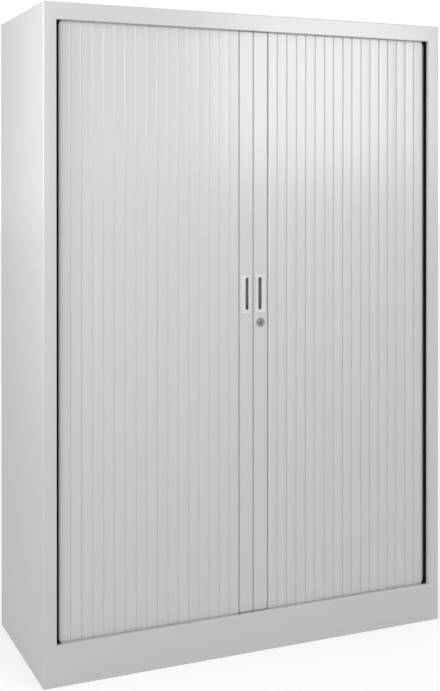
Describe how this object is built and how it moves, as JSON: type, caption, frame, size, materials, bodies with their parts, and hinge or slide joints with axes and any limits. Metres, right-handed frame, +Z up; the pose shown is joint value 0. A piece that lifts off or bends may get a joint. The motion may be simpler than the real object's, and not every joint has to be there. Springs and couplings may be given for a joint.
{
  "type": "roll front tool cabinet",
  "caption": "Tall light-grey sheet-steel cabinet whose two tambour shutters of upright slats open sideways from the middle, with flush pulls, a lock and shelves inside.",
  "frame": {"origin": "on the floor, under the middle of the carcass", "axes": "+Z up, +X to the right seen from the front, the shutters face -Y"},
  "size_m": [1.2, 0.48, 1.76],
  "materials": {
    "carcass": "light grey powder coat, fine grain, satin",
    "inner_sheet": "light grey powder coat, satin",
    "zinc": "zinc-plated steel",
    "track_plastic": "extruded track, light grey",
    "slat": "extruded slat, light grey, satin",
    "stile": "light grey powder coat, satin",
    "cap_plastic": "moulded, grey",
    "handle": "moulded, light grey, with a dark grip recess",
    "chrome": "nickel-plated, bright",
    "seal": "soft strip, dark grey"
  },
  "bodies": {
    "cabinet": {"side_panel_right": "carcass", "side_panel_left": "carcass", "top_panel": "carcass", "front_plinth": "carcass", "back_panel": "carcass", "lower_deck": "inner_sheet", "upper_deck": "inner_sheet", "side_lining_right": "inner_sheet", "side_lining_left": "inner_sheet", "false_back": "inner_sheet", "store_floor": "inner_sheet", "shelf_1": "inner_sheet", "shelf_2": "inner_sheet", "shelf_3": "inner_sheet", "shelf_4": "inner_sheet", "front_upright_right": "zinc", "front_upright_left": "zinc", "rear_upright_right": "zinc", "rear_upright_left": "zinc", "shelf_clips": "zinc", "lower_track_right": "track_plastic", "lower_track_left": "track_plastic", "upper_track_right": "track_plastic", "upper_track_left": "track_plastic", "front_slats_right": "slat", "front_slats_left": "slat", "corner_slats_right": "slat", "corner_slats_left": "slat"},
    "right_shutter": {"lead_stile_right": "stile", "stile_caps_right": "cap_plastic", "flush_handle_right": "handle", "lock_barrel": "chrome", "lock_nut": "zinc"},
    "left_shutter": {"lead_stile_left": "stile", "stile_caps_left": "cap_plastic", "flush_handle_left": "handle", "meeting_seal": "seal", "lock_keep": "zinc"},
    "lock_cylinder": {"lock_plug": "chrome", "lock_hook": "zinc", "hook_screw": "zinc"}
  },
  "joints": [
    {"name": "right_shutter_slide", "type": "slide", "parent": "cabinet", "child": "right_shutter", "axis": [1, 0, 0], "range_m": [0, 0.501], "deforming": ["front_slats_right"]},
    {"name": "left_shutter_slide", "type": "slide", "parent": "cabinet", "child": "left_shutter", "axis": [-1, 0, 0], "range_m": [0, 0.501], "deforming": ["front_slats_left"]},
    {"name": "lock_turn", "type": "hinge", "parent": "right_shutter", "child": "lock_cylinder", "pos_m": [0.022, -0.223, 0.9085], "axis": [0, 1, 0], "range_deg": [0, 90]}
  ]
}
